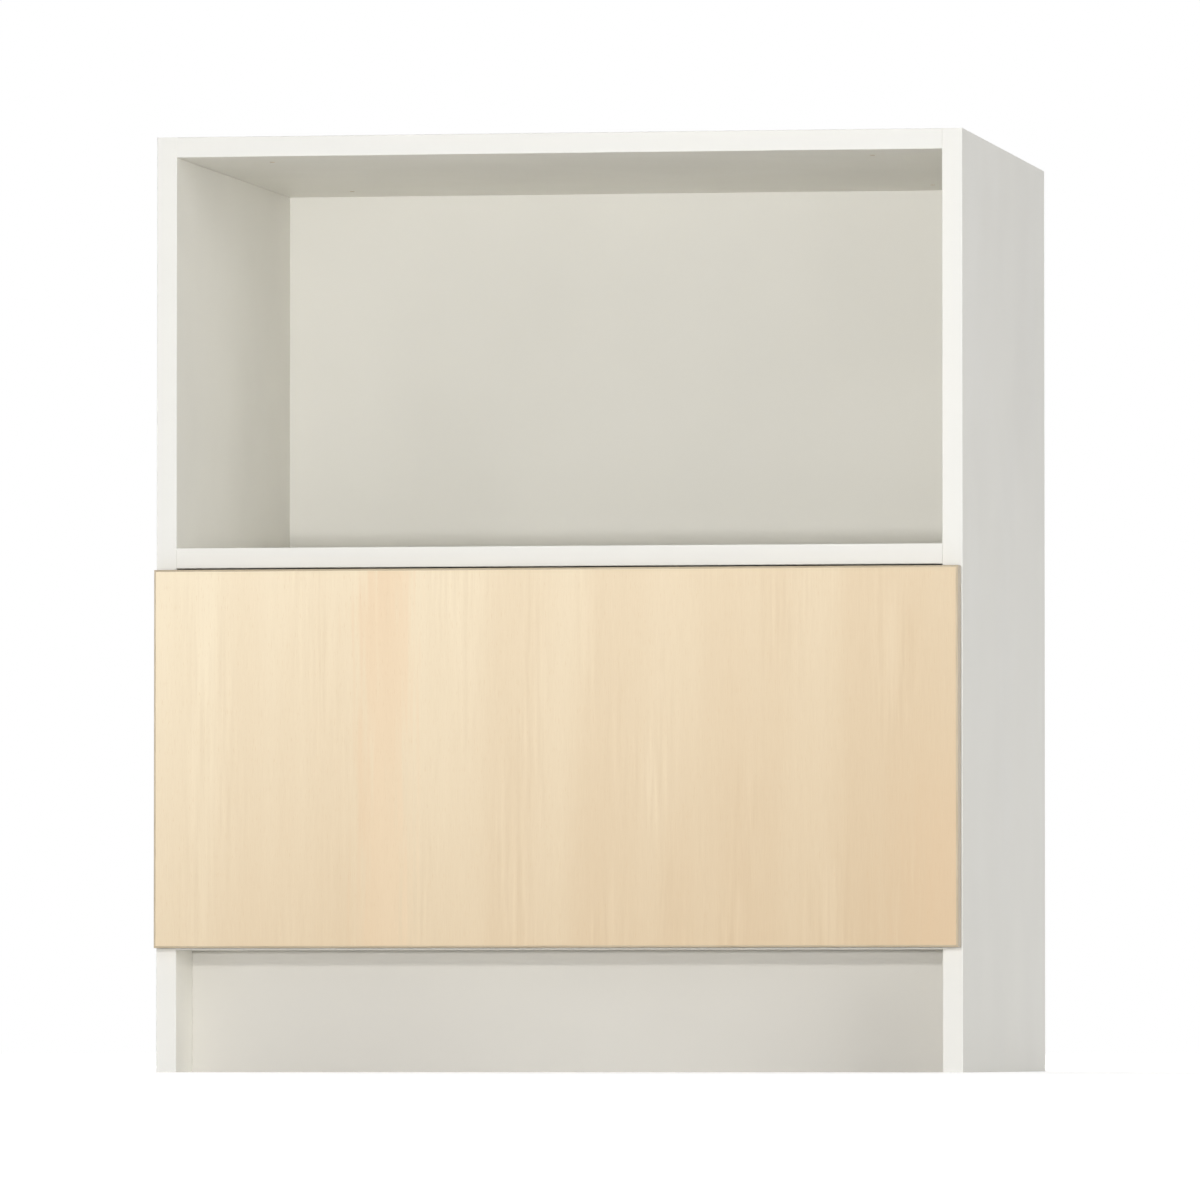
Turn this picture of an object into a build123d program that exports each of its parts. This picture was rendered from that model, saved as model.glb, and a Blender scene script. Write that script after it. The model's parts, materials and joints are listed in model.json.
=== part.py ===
from build123d import *

import math
import os

# A frameless kitchen base cabinet with an open microwave niche over one deep drawer.
# Millimetres. X runs from left to right, Y from the drawer front to the back, Z up from the floor.
# The origin is on the floor, midway across the width and midway between the drawer front and the back.

# Carcase
cabinet_width = 762.0
cabinet_height = 876.3
cabinet_depth = 609.6
board = 19.05
band_thickness = 1.0
band_edge_radius = 0.8
toe_height = 114.3
toe_recess = 76.2
niche_height = 366.7
housing_depth = 6.35
housing_stop = 12.7
housing_play = 0.1

# Back panel, and the rails behind it
back_thickness = 6.35
back_groove_depth = 9.5
back_play = 0.12
rail_height = 101.6

# Holes for the screws that hold the cabinet and its worktop
fixing_hole = 5.0
worktop_hole_inset = 76.2
wall_hole_spacing = 406.4

# Corner blocks behind the toe board
block_leg = 24.0
block_wall = 3.0
block_height = 60.0
block_rib = 3.0
block_play = 0.1
block_screw_shank = 3.5
block_screw_head = 7.0
block_screw_head_height = 2.0
block_screw_bite = 12.0

# Drawer front
front_board = 19.05
front_band_thickness = 2.0
front_edge_radius = 2.0
front_top_gap = 2.0
front_side_reveal = 1.6
front_bottom_reveal = 1.6
bumper_height = 1.7
bumper_diameter = 8.0
bumper_inset = 30.0
bumper_gap = 0.3

# Drawer box
box_board = 15.9
box_floor_gap = 19.05
box_top_gap = 65.1
box_top_radius = 2.4
box_bottom = 6.35
box_bottom_rise = 12.7
box_groove_depth = 6.35
box_play = 0.1
tail_spacing = 25.4
tail_share = 0.68
tail_slope = 12.0
dovetail_lap = 3.2
front_screw_shank = 4.0
front_screw_head = 9.0
front_screw_head_height = 2.6
front_screw_bite = 11.0
front_screw_inset = 60.0
screw_play = 0.1
fastener_sides = 8

# Slides: three rolled steel members, one inside the other, on four rows of balls
slide_width = 12.7
slide_height = 45.7
slide_steel = 1.2
slide_setback = 2.5
slide_rear_gap = 1.73
slide_rise = 76.2
inner_members_short = 6.4
ball_diameter = 3.2
race_play = 0.05
race_half_angle = 30.0
shoulder_bend = 0.7
outer_ball_place = 5.8
inner_ball_place = 9.6
inner_ball_drop = 3.1
outer_lip = 0.3
intermediate_web_place = 3.2
balls_in_row = 6
ball_sides = 6
cage_steel = 0.6
cage_bend = 0.4
cage_window = 3.4
cage_overhang = 2.1
outer_cage_web_place = 1.9
inner_cage_web_place = 7.4
cage_end_play = 0.4
tab_width = 6.0
tab_reach_play = 0.3
catch_tab_reach = 10.4
stop_width = 12.0

# Slide screws
slide_screws = 3
slide_screw_pitch = 192.0
slide_screw_inset = 37.0
side_screw_shank = 6.0
side_screw_head = 8.4
side_screw_bite = 12.0
box_screw_shank = 4.0
box_screw_head = 8.0
box_screw_bite = 12.0

# Release levers on the drawer members
lever_thickness = 3.0
lever_gap = 0.3
lever_boss = 8.0
lever_tip = 6.0
lever_handle_length = 28.0
lever_pivot_back = 20.0
lever_pivot_rise = 7.0
lever_handle_rise = 1.0
lever_arm_height = 4.0
lever_tooth_length = 4.5
lever_tooth_depth = 5.0
lever_pin = 4.0
lever_pin_play = 0.08
catch_tab_drop = 1.0
catch_tab_height = 4.0

# Places that follow from the sizes above
inner_width = cabinet_width - 2 * board
side_face = inner_width / 2
front_face = -cabinet_depth / 2
rear_face = cabinet_depth / 2
front_back = front_face + front_board
box_front = front_back + bumper_height + bumper_gap
board_front = box_front + band_thickness
rail_front = rear_face - board
back_rear = rail_front - back_play
back_front = back_rear - back_thickness
top_under = cabinet_height - board
shelf_top = top_under - niche_height
shelf_under = shelf_top - board
bottom_top = toe_height + board
housed_width = inner_width + 2 * (housing_depth - housing_play)
toe_front = box_front + toe_recess

front_low = toe_height + front_bottom_reveal
front_high = shelf_under - front_top_gap
front_half_width = cabinet_width / 2 - front_side_reveal

drawer_face = side_face - slide_width
drawer_inner_face = drawer_face - box_board
drawer_low = bottom_top + box_floor_gap
drawer_high = shelf_under - box_top_gap
box_height = drawer_high - drawer_low
box_start = front_back
slide_start = box_front + slide_setback
slide_length = back_front - slide_rear_gap - slide_start
slide_end = slide_start + slide_length
box_end = box_start + slide_length
inner_members_length = slide_length - inner_members_short
slide_level = drawer_low + slide_rise
drawer_travel = slide_length
intermediate_travel = drawer_travel / 2
outer_cage_travel = intermediate_travel / 2
inner_cage_travel = (drawer_travel + intermediate_travel) / 2

race_radius = ball_diameter / 2 + race_play
race_line = race_radius + slide_steel / 2
outer_ball_level = slide_height / 2 - slide_steel - race_radius
inner_ball_level = outer_ball_level - inner_ball_drop
drawer_web_place = slide_width - slide_steel / 2


def slab(x, y, z):
    """A square-edged board between a low and a high limit on each axis."""
    limits = (x, y, z)
    sizes = [high - low for low, high in limits]
    middle = [(high + low) / 2 for low, high in limits]
    return Pos(*middle) * Box(*sizes)


def grown(x, y, z, play):
    """The room for a board: the same limits, moved outwards by the play."""
    return slab(*[(low - play, high + play) for low, high in (x, y, z)])


def rod(centre, axis, radius, length):
    """A round bar that starts at a point and runs along an axis."""
    start = Plane(origin=centre, z_dir=axis)
    return extrude(start * Circle(radius), length)


def bar(centre, axis, radius, length):
    """The same for a small fastener, with flats inside the true circle."""
    start = Plane(origin=centre, z_dir=axis)
    return extrude(start * RegularPolygon(radius, fastener_sides), length)


def pilot(centre, axis, radius, length):
    """The hole for such a fastener, with its flats outside the true circle."""
    start = Plane(origin=centre, z_dir=axis)
    return extrude(start * RegularPolygon(radius, fastener_sides, major_radius=False), length)


def mirrored(solid):
    """The mirror image of a piece on the other side of the cabinet."""
    return mirror(solid, about=Plane.YZ)


def pair(solid):
    """A piece of the left side and its mirror image on the right."""
    return [solid, mirrored(solid)]


def turned(solid):
    """The same piece turned half over about the drawer's own axis, as one slide fits both sides."""
    return solid.rotate(Axis((0, 0, slide_level), (0, 1, 0)), 180)


# Board limits that more than one piece needs
top_z = (top_under, cabinet_height)
shelf_z = (shelf_under, shelf_top)
bottom_z = (toe_height, bottom_top)
rail_levels = {
    "hang_rail_top": (top_under - rail_height, top_under),
    "hang_rail_middle": (shelf_under - rail_height, shelf_under),
    "hang_rail_bottom": (bottom_top, bottom_top + rail_height),
}
rail_y = (rail_front, rear_face)
back_x = (-side_face - back_groove_depth + back_play, side_face + back_groove_depth - back_play)
back_y = (back_front, back_rear)
back_z = (bottom_top - back_groove_depth + back_play, top_under + back_groove_depth - back_play)
slide_screw_places = [slide_start + slide_screw_inset + i * slide_screw_pitch for i in range(slide_screws)]


def housed_panel(z, rear):
    """A level panel whose ends stand in housings that stop short of the front edge."""
    full = Pos(0, (board_front + rear) / 2) * Rectangle(inner_width, rear - board_front)
    tongue_front = box_front + housing_stop + housing_play
    tongues = Pos(0, (tongue_front + rear) / 2) * Rectangle(housed_width, rear - tongue_front)
    return extrude(Plane.XY.offset(z[0]) * (full + tongues), z[1] - z[0])


def side_panel():
    """The left side panel with its housings, back groove and slide screw holes."""
    outer = -cabinet_width / 2
    panel = slab((outer, -side_face), (board_front, rear_face), (0, cabinet_height))
    housing_x = (-side_face - housing_depth, -side_face + board)
    housing_y = (box_front + housing_stop, rear_face + board)
    for low, high in (shelf_z, bottom_z):
        panel -= slab(housing_x, housing_y, (low - housing_play, high + housing_play))
    panel -= slab(housing_x, housing_y, (top_under - housing_play, cabinet_height + board))
    for low, high in rail_levels.values():
        panel -= slab(housing_x, (rail_front - back_play, rear_face + board),
                      (low - housing_play, high + housing_play))
    panel -= grown(back_x, back_y, back_z, back_play)
    for item in side_screws() + block_screws():
        panel -= item["room"]
    return panel


def top_panel():
    """The top panel, grooved below for the back and drilled for the worktop screws."""
    panel = housed_panel(top_z, rear_face) - grown(back_x, back_y, back_z, back_play)
    for x, y in worktop_holes():
        panel -= rod((x, y, top_under), (0, 0, 1), fixing_hole / 2, board)
    return panel


def worktop_holes():
    """The four corners of the worktop screws' rectangle."""
    x = side_face - worktop_hole_inset
    front = box_front + worktop_hole_inset
    rear = back_front - worktop_hole_inset
    return [(side * x, y) for side in (-1, 1) for y in (front, rear)]


def wall_holes():
    """The bores of the two wall screws, through the middle rail and the back panel."""
    low, high = rail_levels["hang_rail_middle"]
    return [rod((side * wall_hole_spacing / 2, back_front - board, (low + high) / 2), (0, 1, 0),
                fixing_hole / 2, 3 * board) for side in (-1, 1)]


def rail(z):
    """A rail behind the back panel, with its ends in the side panels."""
    return slab((-housed_width / 2, housed_width / 2), rail_y, z)


def band(x, z):
    """A plastic strip on a panel's front edge, with its long front corners rounded."""
    strip = slab(x, (box_front, board_front), z)
    tall = z[1] - z[0] > x[1] - x[0]
    front_edges = strip.edges().filter_by(Axis.Z if tall else Axis.X).group_by(Axis.Y)[0]
    return fillet(front_edges, min(band_edge_radius, band_thickness * 0.9))


def toe_board():
    """The plinth board between the side panels, under the bottom panel."""
    return slab((-side_face + housing_play, side_face - housing_play),
                (toe_front, toe_front + board), (0, toe_height - housing_play))


block_z = (toe_height / 2 - block_height / 2, toe_height / 2 + block_height / 2)
block_corner = (-side_face + block_play, toe_front + board + block_play)


def corner_block():
    """An angle block in the corner behind the toe board, with a web halfway up."""
    x, y = block_corner
    legs = Polygon((0, 0), (block_leg, 0), (block_leg, block_wall), (block_wall, block_wall),
                   (block_wall, block_leg), (0, block_leg), align=None)
    web = Polygon((0, 0), (block_leg, 0), (block_leg, block_wall), (block_wall, block_leg),
                  (0, block_leg), align=None)
    block = extrude(Plane((x, y, block_z[0])) * legs, block_height)
    block += extrude(Plane((x, y, toe_height / 2 - block_rib / 2)) * web, block_rib)
    for screw in block_screws():
        block -= screw["room"]
    return block


def screw(head_seat, axis, head, head_height, shank, length):
    """A pan-head screw: its solid, and the room that its shank takes in what it holds."""
    back = tuple(-part for part in axis)
    solid = bar(head_seat, axis, shank / 2, length) + bar(head_seat, back, head / 2, head_height)
    room = pilot(head_seat, axis, shank / 2 + screw_play, length + screw_play)
    return {"solid": solid, "room": room}


def block_screws():
    """Two screws: one into the toe board and one into the side panel."""
    x, y = block_corner
    across = (block_leg + block_wall) / 2
    quarter = block_height / 4
    length = block_wall + block_play + block_screw_bite
    into_toe = screw((x + across, y + block_wall, toe_height / 2 + quarter), (0, -1, 0),
                     block_screw_head, block_screw_head_height, block_screw_shank, length)
    into_side = screw((x + block_wall, y + across, toe_height / 2 - quarter), (-1, 0, 0),
                      block_screw_head, block_screw_head_height, block_screw_shank, length)
    return [into_toe, into_side]


def countersunk(seat, axis, head, shank, steel, length):
    """A countersunk slide screw, flush with the steel, and the room for it."""
    sink = Plane(origin=seat, z_dir=axis)
    neck = sink.offset(steel)
    ends = ((sink, head / 2), (neck, shank / 2))
    cone = loft([plane * RegularPolygon(radius, fastener_sides) for plane, radius in ends])
    solid = cone + bar(neck.origin, axis, shank / 2, length)
    wide = [plane * RegularPolygon(radius + screw_play, fastener_sides, major_radius=False)
            for plane, radius in ends]
    room = loft(wide) + pilot(neck.origin, axis, shank / 2 + screw_play, length + screw_play)
    return {"solid": solid, "room": room}


def side_screws():
    """The screws that hold the left cabinet member on the side panel."""
    seat = -side_face + slide_steel
    return [countersunk((seat, place, slide_level), (-1, 0, 0), side_screw_head, side_screw_shank,
                        slide_steel, side_screw_bite) for place in slide_screw_places]


def box_screws():
    """The screws that hold the left drawer member on the drawer side."""
    seat = -drawer_face - slide_steel
    return [countersunk((seat, place, slide_level), (1, 0, 0), box_screw_head, box_screw_shank,
                        slide_steel, box_screw_bite) for place in slide_screw_places]


# Drawer front
front_x = (-front_half_width, front_half_width)
front_z = (front_low, front_high)
core_x = (front_x[0] + front_band_thickness, front_x[1] - front_band_thickness)
core_z = (front_z[0] + front_band_thickness, front_z[1] - front_band_thickness)
bottom_inset = box_board - box_groove_depth + box_play
bottom_x = (bottom_inset - drawer_face, drawer_face - bottom_inset)
bottom_y = (box_start + bottom_inset, box_end - bottom_inset)
bottom_level = (drawer_low + box_bottom_rise, drawer_low + box_bottom_rise + box_bottom)


def front_screws():
    """Screws from inside the drawer box into the drawer front."""
    seat_y = box_start + box_board
    length = box_board + front_screw_bite
    spots = []
    for side in (-1, 1):
        for level in (drawer_low + front_screw_inset, drawer_high - front_screw_inset):
            spots.append((side * (drawer_inner_face - front_screw_inset), seat_y, level))
    return [screw(spot, (0, -1, 0), front_screw_head, front_screw_head_height,
                  front_screw_shank, length) for spot in spots]


def drawer_front_blank():
    """The slab with its banded edges, before the bands are parted from it."""
    blank = slab(front_x, (front_face, front_back), front_z)
    return fillet(blank.faces().sort_by(Axis.Y)[0].edges(), front_edge_radius)


def drawer_front_core():
    """The veneered slab inside its edge bands, drilled for the screws."""
    core = drawer_front_blank() & slab(core_x, (front_face - board, rear_face), core_z)
    for item in front_screws():
        core -= item["room"]
    return core


def drawer_front_bands():
    """Four birch strips round the slab: the upright ones run full height."""
    blank = drawer_front_blank()
    depth = (front_face - board, rear_face)
    tall = (front_z[0] - board, front_z[1] + board)
    return [
        blank & slab((front_x[0] - board, core_x[0]), depth, tall),
        blank & slab((core_x[1], front_x[1] + board), depth, tall),
        blank & slab(core_x, depth, (core_z[1], front_z[1] + board)),
        blank & slab(core_x, depth, (front_z[0] - board, core_z[0])),
    ]


def bumpers():
    """Soft discs on the back of the drawer front that meet the side panels' front edges."""
    x = cabinet_width / 2 - board / 2
    levels = (front_low + bumper_inset, front_high - bumper_inset)
    return [bar((side * x, front_back, level), (0, 1, 0), bumper_diameter / 2, bumper_height)
            for side in (-1, 1) for level in levels]


# Dovetails
tail_count = round(box_height / tail_spacing)
tail_pitch = box_height / tail_count
tail_wide = tail_pitch * tail_share
tail_length = box_board - dovetail_lap
tail_narrow = tail_wide - 2 * tail_length * math.tan(math.radians(tail_slope))


def tails(end, inward, play):
    """The left drawer side's row of tails at one end, widest at their tips."""
    tip = end + inward * (dovetail_lap - play)
    root = end + inward * (box_board + play)
    wide = tail_wide / 2 + play
    narrow = tail_narrow / 2 + play
    row = []
    for index in range(tail_count):
        middle = drawer_low + (index + 0.5) * tail_pitch
        outline = Polygon((tip, middle - wide), (tip, middle + wide), (root, middle + narrow),
                          (root, middle - narrow), align=None)
        start = Plane.YZ.offset(-drawer_face - play)
        row.append(extrude(start * outline, box_board + 2 * play, dir=(1, 0, 0)))
    return row


def box_board_outline(middle):
    """The cross section of a drawer box board, with both its top edges rounded."""
    outline = Pos(middle, (drawer_low + drawer_high) / 2) * Rectangle(box_board, box_height)
    return fillet(outline.vertices().group_by(Axis.Y)[-1], box_top_radius)


def drawer_side():
    """The left drawer side: a board with a rounded top edge and tails at both ends."""
    outline = box_board_outline(-drawer_face + box_board / 2)
    start = Plane(origin=(0, box_end - box_board, 0), x_dir=(1, 0, 0), z_dir=(0, -1, 0))
    side = extrude(start * outline, slide_length - 2 * box_board)
    for end, inward in ((box_start, 1), (box_end, -1)):
        side = side.fuse(*tails(end, inward, 0))
    side -= grown(bottom_x, bottom_y, bottom_level, box_play)
    for item in box_screws():
        side -= item["room"]
    return side


def drawer_end(end, inward):
    """The inner front or the back of the drawer box: a rounded top edge and pins at both ends."""
    outline = box_board_outline(end + inward * box_board / 2)
    piece = extrude(Plane.YZ.offset(-drawer_face) * outline, 2 * drawer_face)
    sockets = tails(end, inward, box_play)
    piece = piece.cut(*sockets, *[mirrored(socket) for socket in sockets])
    return piece - grown(bottom_x, bottom_y, bottom_level, box_play)


# Slide sections, drawn with U from the side panel towards the drawer and V up from the slide's middle
outer_ball = (outer_ball_place, outer_ball_level)
inner_ball = (inner_ball_place, inner_ball_level)


def heading(angle):
    """The direction of an angle, as a point on the unit circle."""
    return (math.cos(math.radians(angle)), math.sin(math.radians(angle)))


def race_point(ball, angle):
    """The point on the middle line of the steel at an angle round a ball's centre."""
    along, up = heading(angle)
    return (ball[0] + race_line * along, ball[1] + race_line * up)


def shoulder_to_web(ball, web_place):
    """From the side of a race under a ball, over a rounded shoulder and down to the middle of the web."""
    side = math.copysign(1, web_place - ball[0])
    angle = 270 + side * race_half_angle
    start = race_point(ball, angle)
    lean = 90 - side * (90 - race_half_angle)
    rest = side * (web_place - start[0]) - shoulder_bend * (1 + math.sin(math.radians(race_half_angle)))
    run = rest / math.cos(math.radians(race_half_angle))
    rise = PolarLine(start, run, direction=heading(lean))
    over = JernArc(rise @ 1, heading(lean), shoulder_bend, -side * (90 + race_half_angle))
    down = Line(over @ 1, (web_place, 0))
    return [rise, over, down]


def rolled(lines, steel):
    """A steel strip along a bent middle line and its mirror image below."""
    half = Curve() + lines
    whole = half.edges() + mirror(half, about=Plane.XZ).edges()
    return trace(Wire(whole), line_width=steel)


def cabinet_member_section():
    """The member on the side panel: a race over each outer ball row and a lip past it."""
    race = CenterArc(outer_ball, race_line, 90 + race_half_angle, -2 * race_half_angle)
    down_left = heading(180 + race_half_angle)
    left_run = PolarLine(race @ 0, outer_lip, direction=down_left)
    left_bend = JernArc(left_run @ 1, down_left, slide_steel, -race_half_angle)
    corner_u = slide_steel / 2 + slide_steel
    flat = Line(left_bend @ 1, (corner_u, (left_bend @ 1).Y))
    corner = JernArc(flat @ 1, (-1, 0), slide_steel, 90)
    web = Line(corner @ 1, (slide_steel / 2, 0))
    down_right = heading(-race_half_angle)
    right_run = PolarLine(race @ 1, outer_lip, direction=down_right)
    right_bend = JernArc(right_run @ 1, down_right, slide_steel, race_half_angle)
    lip = Line(right_bend @ 1, right_bend @ 1 + Vector(outer_lip, 0))
    return rolled([web, corner, flat, left_bend, left_run, race, right_run, right_bend, lip], slide_steel)


def intermediate_section():
    """The middle member: a race under the outer balls runs on into a race over the inner ones."""
    apart = math.dist(outer_ball, inner_ball)
    slope = math.degrees(math.atan2(inner_ball[1] - outer_ball[1], inner_ball[0] - outer_ball[0]))
    leave = slope - math.degrees(math.acos(2 * race_line / apart))
    start = 270 - race_half_angle
    under = CenterArc(outer_ball, race_line, start, leave + 360 - start)
    crest_start = leave + 180
    over = CenterArc(inner_ball, race_line, crest_start, race_half_angle - crest_start)
    cross = Line(under @ 1, over @ 0)
    return rolled(shoulder_to_web(outer_ball, intermediate_web_place) + [under, cross, over], slide_steel)


def drawer_member_section():
    """The member on the drawer side: a race under each inner ball row."""
    race = CenterArc(inner_ball, race_line, 270 - race_half_angle, 2 * race_half_angle)
    return rolled(shoulder_to_web(inner_ball, drawer_web_place) + [race], slide_steel)


def cage_section(web_place, ball):
    """A thin U that reaches between the members, level with the ball rows."""
    corner = (web_place + cage_bend, ball[1])
    web = Line((web_place, 0), (web_place, ball[1] - cage_bend))
    bend = JernArc(web @ 1, (0, 1), cage_bend, -90)
    flange = Line(corner, (ball[0] + cage_overhang, ball[1]))
    return rolled([web, bend, flange], cage_steel)


def rolled_length(section, start, length):
    """A section run along the left side panel, from a front end towards the back."""
    plane = Plane(origin=(-side_face, start + length, slide_level), x_dir=(1, 0, 0), z_dir=(0, -1, 0))
    return extrude(plane * section, length, dir=(0, -1, 0))


def tab(u, v, front):
    """A tongue of the web, bent across the slide."""
    return slab((u[0] - side_face, u[1] - side_face), (front, front + slide_steel),
                (slide_level + v[0], slide_level + v[1]))


web_tab = (-tab_width / 2, tab_width / 2)
catch_tab = (-catch_tab_drop - catch_tab_height, -catch_tab_drop)
tab_inset = 2 * slide_steel
intermediate_end = slide_start + inner_members_length
front_tab_rear = slide_start + tab_inset + slide_steel


def cabinet_member():
    """The left cabinet member, with the front tab that its ball cage stops against."""
    member = rolled_length(cabinet_member_section(), slide_start, slide_length)
    reach = intermediate_web_place - slide_steel / 2 - tab_reach_play
    member += tab((slide_steel / 2, reach), web_tab, slide_start + tab_inset)
    for item in side_screws():
        member -= item["room"]
    return member


def intermediate_member():
    """The left intermediate member, with a rear tab on one face and a front tab on the other."""
    member = rolled_length(intermediate_section(), slide_start, inner_members_length)
    member += tab((slide_steel + tab_reach_play, intermediate_web_place), web_tab,
                  intermediate_end - tab_inset - slide_steel)
    member += tab((intermediate_web_place, catch_tab_reach), catch_tab,
                  slide_start + tab_inset)
    return member


def drawer_member():
    """The left drawer member, with the rear tab that stops the inner cage."""
    member = rolled_length(drawer_member_section(), slide_start, inner_members_length)
    reach = inner_cage_web_place - cage_steel / 2 - tab_reach_play
    member += tab((reach, drawer_web_place), web_tab, intermediate_end - tab_inset - slide_steel)
    for item in box_screws():
        member -= item["room"]
    return member


# A cage just fills the space between the tabs when the slide is fully out
cage_length = (inner_members_length - intermediate_travel - 2 * tab_inset - 2 * slide_steel
               - 2 * cage_end_play)
outer_cage_start = front_tab_rear + cage_end_play + outer_cage_travel
inner_cage_start = front_tab_rear - intermediate_travel + cage_end_play + inner_cage_travel
ball_pitch = cage_length / balls_in_row


def ball_places(cage_start):
    """How far along the slide each ball of a row lies."""
    return [cage_start + (index + 0.5) * ball_pitch for index in range(balls_in_row)]


def cage(web_place, ball, start):
    """A ball cage of the left slide, with a window round each ball."""
    strip = rolled_length(cage_section(web_place, ball), start, cage_length)
    windows = []
    for place in ball_places(start):
        for level in (-ball[1], ball[1]):
            windows.append(Pos(ball[0] - side_face, place, slide_level + level)
                           * Box(cage_window, cage_window, 2 * cage_steel))
    return strip.cut(*windows)


def ball_solid(centre):
    """A steel ball, faceted inside its true diameter."""
    radius = ball_diameter / 2
    points = [(centre[0], centre[1], centre[2] + radius), (centre[0], centre[1], centre[2] - radius)]
    for latitude in (-45, 0, 45):
        out, up = heading(latitude)
        for index in range(ball_sides):
            along, across = heading(index * 360 / ball_sides)
            points.append((centre[0] + radius * out * along, centre[1] + radius * out * across,
                           centre[2] + radius * up))
    return ConvexPolyhedron(points)


def ball_rows(ball, start):
    """The upper and lower rows of balls in one cage of the left slide."""
    return [ball_solid((ball[0] - side_face, place, slide_level + level))
            for level in (-ball[1], ball[1]) for place in ball_places(start)]


def rear_stop():
    """A block in the rear of the cabinet member that cushions the closing slide."""
    reach = intermediate_web_place + slide_steel
    return slab((slide_steel - side_face, reach - side_face),
                (intermediate_end + cage_end_play, slide_end),
                (slide_level - stop_width / 2, slide_level + stop_width / 2))


lever_face = slide_width - slide_steel - lever_gap
tooth_front = front_tab_rear + intermediate_travel + cage_end_play


def release_lever():
    """The lever whose tooth hooks behind the intermediate member's front tab at full extension."""
    pivot = (tooth_front - lever_pivot_back, lever_pivot_rise)
    tip = (pivot[0] - lever_handle_length, pivot[1] + lever_handle_rise)
    handle = make_hull([*(Pos(*pivot) * Circle(lever_boss / 2)).edges(),
                        *(Pos(*tip) * Circle(lever_tip / 2)).edges()])
    arm_low = pivot[1] - lever_boss / 2 - lever_arm_height / 2
    tooth_end = tooth_front + lever_tooth_length
    arm = Polygon((pivot[0], pivot[1] - lever_boss / 2), (tooth_front, arm_low),
                  (tooth_front, arm_low - lever_tooth_depth - catch_tab_drop),
                  (tooth_end, arm_low - lever_tooth_depth), (tooth_end, arm_low + lever_arm_height),
                  (pivot[0], pivot[1] + lever_boss / 2), align=None)
    outline = handle + arm - Pos(*pivot) * Circle(lever_pin / 2 + lever_pin_play)
    face = Plane(origin=(lever_face - side_face, 0, slide_level), x_dir=(0, 1, 0), z_dir=(1, 0, 0))
    return extrude(face * outline, lever_thickness, dir=(-1, 0, 0))


def lever_pin_solid():
    """The rivet that carries the lever on the drawer member."""
    place = tooth_front - lever_pivot_back
    start = (slide_width - slide_steel - side_face, place, slide_level + lever_pivot_rise)
    return rod(start, (-1, 0, 0), lever_pin / 2, lever_gap + lever_thickness)


def cabinet_pieces():
    """Every piece of the fixed cabinet."""
    left_side = side_panel()
    toe = toe_board()
    screws = block_screws()
    for item in screws:
        toe = toe.cut(*pair(item["room"]))
    back = slab(back_x, back_y, back_z)
    rails = {name: rail(z) for name, z in rail_levels.items()}
    for bore in wall_holes():
        back -= bore
        rails["hang_rail_middle"] -= bore
    side_band = band((-cabinet_width / 2, -side_face), (0, cabinet_height))
    span = (-side_face, side_face)
    pieces = {
        "side_panel_left": left_side,
        "side_panel_right": mirrored(left_side),
        "top_panel": top_panel(),
        "niche_shelf": housed_panel(shelf_z, back_front - housing_play),
        "bottom_panel": housed_panel(bottom_z, rear_face) - grown(back_x, back_y, back_z, back_play),
        "back_panel": back,
        **rails,
        "toe_board": toe,
        "toe_corner_blocks": pair(corner_block()),
        "toe_block_screws": [part for item in screws for part in pair(item["solid"])],
        "edge_band_left": side_band,
        "edge_band_right": mirrored(side_band),
        "edge_band_top": band(span, top_z),
        "edge_band_shelf": band(span, shelf_z),
        "edge_band_bottom": band(span, bottom_z),
    }
    return pieces


def drawer_pieces():
    """Every piece of the drawer box and its front."""
    left = drawer_side()
    inner_front = drawer_end(box_start, 1)
    for item in front_screws():
        inner_front -= item["room"]
    return {
        "drawer_front": drawer_front_core(),
        "drawer_front_edge_bands": drawer_front_bands(),
        "drawer_side_left": left,
        "drawer_side_right": mirrored(left),
        "drawer_inner_front": inner_front,
        "drawer_back": drawer_end(box_end, -1),
        "drawer_bottom": slab(bottom_x, bottom_y, bottom_level),
        "drawer_front_screws": [item["solid"] for item in front_screws()],
        "drawer_bumpers": bumpers(),
    }


def slide_pieces():
    """Both slides, piece by piece: the right one is the left one turned over."""
    left = {
        "slide_cabinet_member": [cabinet_member()],
        "slide_rear_stop": [rear_stop()],
        "slide_intermediate_member": [intermediate_member()],
        "slide_drawer_member": [drawer_member()],
        "ball_cage_outer": [cage(outer_cage_web_place, outer_ball, outer_cage_start)],
        "ball_cage_inner": [cage(inner_cage_web_place, inner_ball, inner_cage_start)],
        "balls_outer": ball_rows(outer_ball, outer_cage_start),
        "balls_inner": ball_rows(inner_ball, inner_cage_start),
        "release_lever": [release_lever()],
        "release_lever_pin": [lever_pin_solid()],
        "slide_side_screws": [item["solid"] for item in side_screws()],
        "slide_drawer_screws": [item["solid"] for item in box_screws()],
    }
    pieces = {}
    for name, solids in left.items():
        pieces[name + "_left"] = solids
        pieces[name + "_right"] = [turned(solid) for solid in solids]
    return pieces


def write(name, piece):
    """One file per sub-part, holding one solid or a group of like ones."""
    solids = []
    for shape in piece if isinstance(piece, list) else [piece]:
        solids.extend(shape.solids())
    export_step(Compound(children=solids) if len(solids) > 1 else solids[0], f"parts/{name}.step")


os.makedirs("parts", exist_ok=True)
for name, piece in {**cabinet_pieces(), **drawer_pieces(), **slide_pieces()}.items():
    write(name, piece)
print("drawer travel", drawer_travel, "slide length", slide_length, "slide level", slide_level)
print("intermediate travel", intermediate_travel, "cages", outer_cage_travel, inner_cage_travel)
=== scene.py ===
import json
import math
from functools import cached_property

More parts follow.
